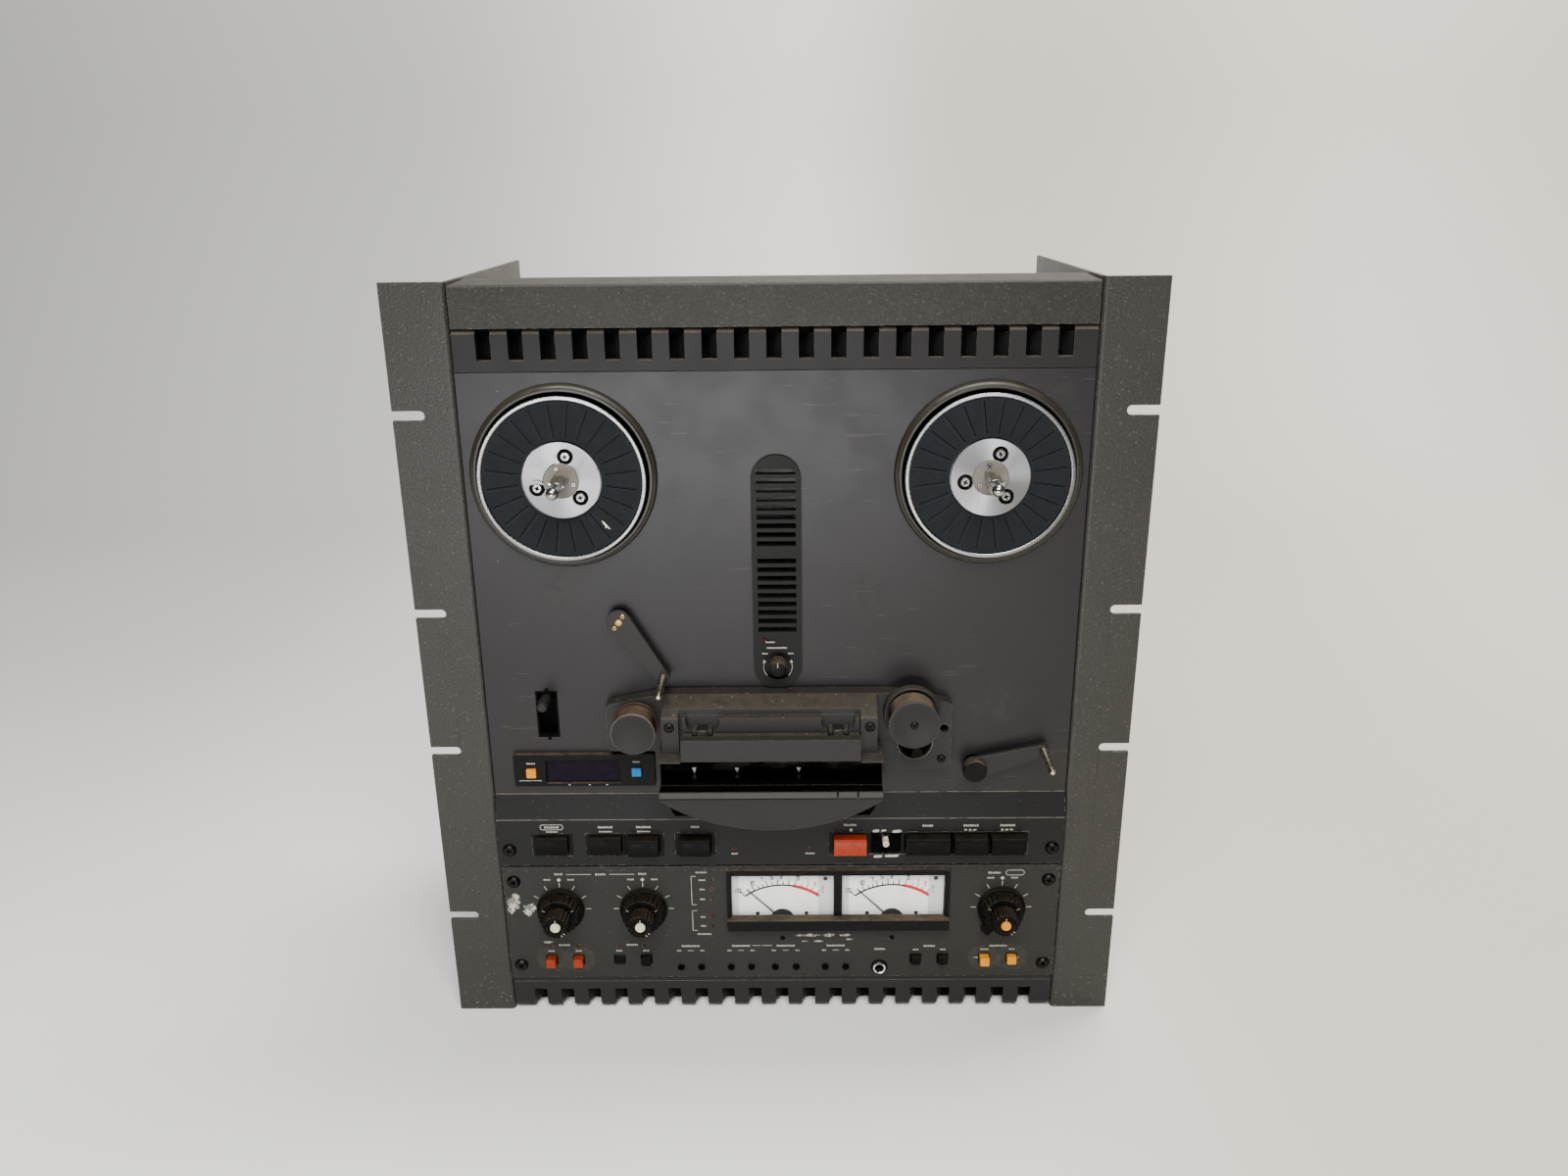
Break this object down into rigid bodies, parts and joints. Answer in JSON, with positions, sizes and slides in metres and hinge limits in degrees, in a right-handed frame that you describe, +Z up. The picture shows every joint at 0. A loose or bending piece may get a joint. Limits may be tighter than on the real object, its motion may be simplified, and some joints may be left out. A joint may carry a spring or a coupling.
{
  "type": "reel to reel tape deck",
  "caption": "Rack mounted reel to reel tape deck with upright reel tables, head block with gate, key row, level knobs and twin needle meters.",
  "frame": {"origin": "middle of the footprint, on the surface that the rack ears stand on", "axes": "+X to the right as seen from the front, +Y to the rear, +Z up; the panels face -Y"},
  "size_m": [0.4826, 0.263, 0.5326],
  "materials": {
    "hammer_paint": "hammertone baked enamel, olive grey, chipped at the edges",
    "deck_paint": "fine textured dark grey paint, satin",
    "panel_paint": "fine textured charcoal paint, satin",
    "vent_plastic": "moulded charcoal plastic, fine grain",
    "ring_paint": "olive brown enamel ring, semi gloss",
    "turned_aluminium": "turned and clear finished",
    "head_casting": "fine textured grey paint, dusty on top",
    "head_metal": "lapped head faces",
    "black_plastic": "moulded black plastic",
    "knob_plastic": "gloss black plastic, worn and dusty",
    "key_plastic": "satin black plastic",
    "red_plastic": "translucent orange red plastic",
    "amber_plastic": "translucent amber plastic",
    "blue_plastic": "sky blue plastic",
    "bare_plunger": "bare ivory plastic",
    "chassis_steel": "black painted sheet steel",
    "motor_steel": "zinc plated steel",
    "shaft_steel": "ground and polished",
    "pulley_brass": "turned",
    "roller_rubber": "dark brown rubber with a grey cap",
    "belt_rubber": "ground flat belt",
    "board_green": "green glass fibre board"
  },
  "bodies": {
    "frame": {"rack_ears": "hammer_paint", "top_trim": "hammer_paint", "vent_strips": "vent_plastic", "deck_panel": "deck_paint", "reel_bezels": "ring_paint", "center_grille": "vent_plastic", "head_base": "head_casting", "head_cover": "head_casting", "head_apron": "head_casting", "tape_heads": "head_metal", "counter_bezel": "vent_plastic", "control_panel": "panel_paint", "audio_panel": "panel_paint", "meter_housing": "black_plastic", "chassis": "chassis_steel", "rear_cover": "chassis_steel", "drive_motors": "motor_steel", "drive_belt": "belt_rubber", "electronics": "board_green", "panel_screws": "black_plastic"},
    "supply_platter": {"supply_platter": "turned_aluminium"},
    "takeup_platter": {"takeup_platter": "turned_aluminium"},
    "supply_arm": {"supply_arm": "head_casting"},
    "takeup_arm": {"takeup_arm": "head_casting"},
    "guide_roller": {"guide_roller": "roller_rubber"},
    "pinch_arm": {"pinch_arm": "head_casting"},
    "pinch_roller": {"pinch_roller": "roller_rubber"},
    "capstan": {"capstan": "shaft_steel"},
    "motor_pulley": {"motor_pulley": "pulley_brass"},
    "head_gate": {"head_gate": "head_casting"},
    "cue_lever": {"cue_lever": "black_plastic"},
    "pitch_shaft": {"pitch_shaft": "shaft_steel"},
    "pitch_knob": {"pitch_knob": "black_plastic"},
    "input_1_outer_knob": {"input_1_outer_knob": "knob_plastic"},
    "input_1_inner_knob": {"input_1_inner_knob": "knob_plastic"},
    "input_2_outer_knob": {"input_2_outer_knob": "knob_plastic"},
    "input_2_inner_knob": {"input_2_inner_knob": "knob_plastic"},
    "output_outer_knob": {"output_outer_knob": "knob_plastic"},
    "output_inner_knob": {"output_inner_knob": "knob_plastic"},
    "left_needle": {"left_needle": "black_plastic"},
    "right_needle": {"right_needle": "black_plastic"},
    "memory_button": {"memory_button": "amber_plastic"},
    "reset_button": {"reset_button": "blue_plastic"},
    "power_key": {"power_key": "key_plastic"},
    "speed_key": {"speed_key": "key_plastic"},
    "reel_size_key": {"reel_size_key": "key_plastic"},
    "edit_key": {"edit_key": "key_plastic"},
    "record_key": {"record_key": "red_plastic"},
    "play_plunger": {"play_plunger": "bare_plunger"},
    "stop_key": {"stop_key": "key_plastic"},
    "rewind_key": {"rewind_key": "key_plastic"},
    "forward_key": {"forward_key": "key_plastic"},
    "record_ready_1": {"record_ready_1": "red_plastic"},
    "record_ready_2": {"record_ready_2": "red_plastic"},
    "playback_sync_1": {"playback_sync_1": "key_plastic"},
    "playback_sync_2": {"playback_sync_2": "key_plastic"},
    "tone_low_button": {"tone_low_button": "key_plastic"},
    "tone_high_button": {"tone_high_button": "key_plastic"},
    "monitor_1_button": {"monitor_1_button": "amber_plastic"},
    "monitor_2_button": {"monitor_2_button": "amber_plastic"}
  },
  "joints": [
    {"name": "supply_reel_spin", "type": "hinge", "parent": "frame", "child": "supply_platter", "pos_m": [-0.1355, -0.0955, 0.4105], "axis": [0, 1, 0], "continuous": true},
    {"name": "takeup_reel_spin", "type": "hinge", "parent": "frame", "child": "takeup_platter", "pos_m": [0.1355, -0.0955, 0.4105], "axis": [0, 1, 0], "continuous": true},
    {"name": "supply_arm_swing", "type": "hinge", "parent": "frame", "child": "supply_arm", "pos_m": [-0.1047, -0.0925, 0.3136], "axis": [0, 1, 0], "range_deg": [0, 45], "stiffness_Nm_per_rad": 0.05, "springref_deg": -20.05},
    {"name": "takeup_arm_swing", "type": "hinge", "parent": "frame", "child": "takeup_arm", "pos_m": [0.1342, -0.0925, 0.204], "axis": [0, -1, 0], "range_deg": [0, 45], "stiffness_Nm_per_rad": 0.05, "springref_deg": -20.05},
    {"name": "pinch_arm_swing", "type": "hinge", "parent": "frame", "child": "pinch_arm", "pos_m": [0.103, -0.0965, 0.243], "axis": [0, -1, 0], "range_deg": [0, 17.5], "stiffness_Nm_per_rad": 0.3, "springref_deg": -17.19},
    {"name": "head_gate_lift", "type": "hinge", "parent": "frame", "child": "head_gate", "pos_m": [-0.005, -0.116, 0.2442], "axis": [-1, 0, 0], "range_deg": [0, 95]},
    {"name": "cue_lever_swing", "type": "hinge", "parent": "frame", "child": "cue_lever", "pos_m": [-0.1579, -0.0555, 0.2435], "axis": [1, 0, 0], "range_deg": [0, 30], "stiffness_Nm_per_rad": 0.06, "springref_deg": -17.19},
    {"name": "guide_roller_spin", "type": "hinge", "parent": "frame", "child": "guide_roller", "pos_m": [-0.0964, -0.1055, 0.2423], "axis": [0, 1, 0], "continuous": true},
    {"name": "pinch_roller_spin", "type": "hinge", "parent": "pinch_arm", "child": "pinch_roller", "pos_m": [0.0895, -0.1105, 0.25], "axis": [0, 1, 0], "continuous": true},
    {"name": "capstan_spin", "type": "hinge", "parent": "frame", "child": "capstan", "pos_m": [0.0927, -0.0855, 0.225], "axis": [0, 1, 0], "continuous": true},
    {"name": "motor_pulley_spin", "type": "hinge", "parent": "frame", "child": "motor_pulley", "pos_m": [-0.02, -0.0395, 0.225], "axis": [0, 1, 0], "continuous": true},
    {"name": "pitch_pull", "type": "slide", "parent": "frame", "child": "pitch_shaft", "axis": [0, -1, 0], "range_m": [0, 0.003]},
    {"name": "pitch_turn", "type": "hinge", "parent": "pitch_shaft", "child": "pitch_knob", "pos_m": [0, -0.0895, 0.2795], "axis": [0, 1, 0], "range_deg": [-135, 135]},
    {"name": "input_1_outer_turn", "type": "hinge", "parent": "frame", "child": "input_1_outer_knob", "pos_m": [-0.1593, -0.0955, 0.0895], "axis": [0, 1, 0], "range_deg": [-150, 150]},
    {"name": "input_1_inner_turn", "type": "hinge", "parent": "frame", "child": "input_1_inner_knob", "pos_m": [-0.1593, -0.1055, 0.0895], "axis": [0, 1, 0], "range_deg": [-150, 150]},
    {"name": "input_2_outer_turn", "type": "hinge", "parent": "frame", "child": "input_2_outer_knob", "pos_m": [-0.0992, -0.0955, 0.0895], "axis": [0, 1, 0], "range_deg": [-150, 150]},
    {"name": "input_2_inner_turn", "type": "hinge", "parent": "frame", "child": "input_2_inner_knob", "pos_m": [-0.0992, -0.1055, 0.0895], "axis": [0, 1, 0], "range_deg": [-150, 150]},
    {"name": "output_outer_turn", "type": "hinge", "parent": "frame", "child": "output_outer_knob", "pos_m": [0.1589, -0.0955, 0.0895], "axis": [0, 1, 0], "range_deg": [0, 285]},
    {"name": "output_inner_turn", "type": "hinge", "parent": "frame", "child": "output_inner_knob", "pos_m": [0.1589, -0.1055, 0.0895], "axis": [0, 1, 0], "range_deg": [-150, 150]},
    {"name": "left_needle_swing", "type": "hinge", "parent": "frame", "child": "left_needle", "pos_m": [0.001, -0.0855, 0.0778], "axis": [0, 1, 0], "range_deg": [0, 90], "stiffness_Nm_per_rad": 0.00002, "springref_deg": -11.46},
    {"name": "right_needle_swing", "type": "hinge", "parent": "frame", "child": "right_needle", "pos_m": [0.0805, -0.0855, 0.0778], "axis": [0, 1, 0], "range_deg": [0, 90], "stiffness_Nm_per_rad": 0.00002, "springref_deg": -11.46},
    {"name": "record_press", "type": "slide", "parent": "frame", "child": "record_key", "axis": [0, 1, 0], "range_m": [0, 0.005], "stiffness_N_per_m": 250},
    {"name": "stop_press", "type": "slide", "parent": "frame", "child": "stop_key", "axis": [0, 1, 0], "range_m": [0, 0.005], "stiffness_N_per_m": 250},
    {"name": "rewind_press", "type": "slide", "parent": "frame", "child": "rewind_key", "axis": [0, 1, 0], "range_m": [0, 0.005], "stiffness_N_per_m": 250},
    {"name": "forward_press", "type": "slide", "parent": "frame", "child": "forward_key", "axis": [0, 1, 0], "range_m": [0, 0.005], "stiffness_N_per_m": 250},
    {"name": "reel_size_press", "type": "slide", "parent": "frame", "child": "reel_size_key", "axis": [0, 1, 0], "range_m": [0, 0.005], "stiffness_N_per_m": 250},
    {"name": "edit_press", "type": "slide", "parent": "frame", "child": "edit_key", "axis": [0, 1, 0], "range_m": [0, 0.005], "stiffness_N_per_m": 250},
    {"name": "power_press", "type": "slide", "parent": "frame", "child": "power_key", "axis": [0, 1, 0], "range_m": [-0.004, 0.001], "stiffness_N_per_m": 250},
    {"name": "speed_press", "type": "slide", "parent": "frame", "child": "speed_key", "axis": [0, 1, 0], "range_m": [-0.004, 0.001], "stiffness_N_per_m": 250},
    {"name": "play_press", "type": "slide", "parent": "frame", "child": "play_plunger", "axis": [0, 1, 0], "range_m": [0, 0.005], "stiffness_N_per_m": 250},
    {"name": "memory_press", "type": "slide", "parent": "frame", "child": "memory_button", "axis": [0, 1, 0], "range_m": [0, 0.0018], "stiffness_N_per_m": 200},
    {"name": "reset_press", "type": "slide", "parent": "frame", "child": "reset_button", "axis": [0, 1, 0], "range_m": [0, 0.0018], "stiffness_N_per_m": 200},
    {"name": "record_ready_1_press", "type": "slide", "parent": "frame", "child": "record_ready_1", "axis": [0, 1, 0], "range_m": [0, 0.003], "stiffness_N_per_m": 200},
    {"name": "record_ready_2_press", "type": "slide", "parent": "frame", "child": "record_ready_2", "axis": [0, 1, 0], "range_m": [0, 0.003], "stiffness_N_per_m": 200},
    {"name": "playback_sync_2_press", "type": "slide", "parent": "frame", "child": "playback_sync_2", "axis": [0, 1, 0], "range_m": [0, 0.003], "stiffness_N_per_m": 200},
    {"name": "tone_low_press", "type": "slide", "parent": "frame", "child": "tone_low_button", "axis": [0, 1, 0], "range_m": [0, 0.003], "stiffness_N_per_m": 200},
    {"name": "tone_high_press", "type": "slide", "parent": "frame", "child": "tone_high_button", "axis": [0, 1, 0], "range_m": [0, 0.003], "stiffness_N_per_m": 200},
    {"name": "monitor_1_press", "type": "slide", "parent": "frame", "child": "monitor_1_button", "axis": [0, 1, 0], "range_m": [0, 0.003], "stiffness_N_per_m": 200},
    {"name": "monitor_2_press", "type": "slide", "parent": "frame", "child": "monitor_2_button", "axis": [0, 1, 0], "range_m": [0, 0.003], "stiffness_N_per_m": 200},
    {"name": "playback_sync_1_press", "type": "slide", "parent": "frame", "child": "playback_sync_1", "axis": [0, 1, 0], "range_m": [-0.003, 0.0005], "stiffness_N_per_m": 200}
  ],
  "couplings": [
    {"joint": "motor_pulley_spin", "follows": "capstan_spin", "ratio": 5}
  ]
}
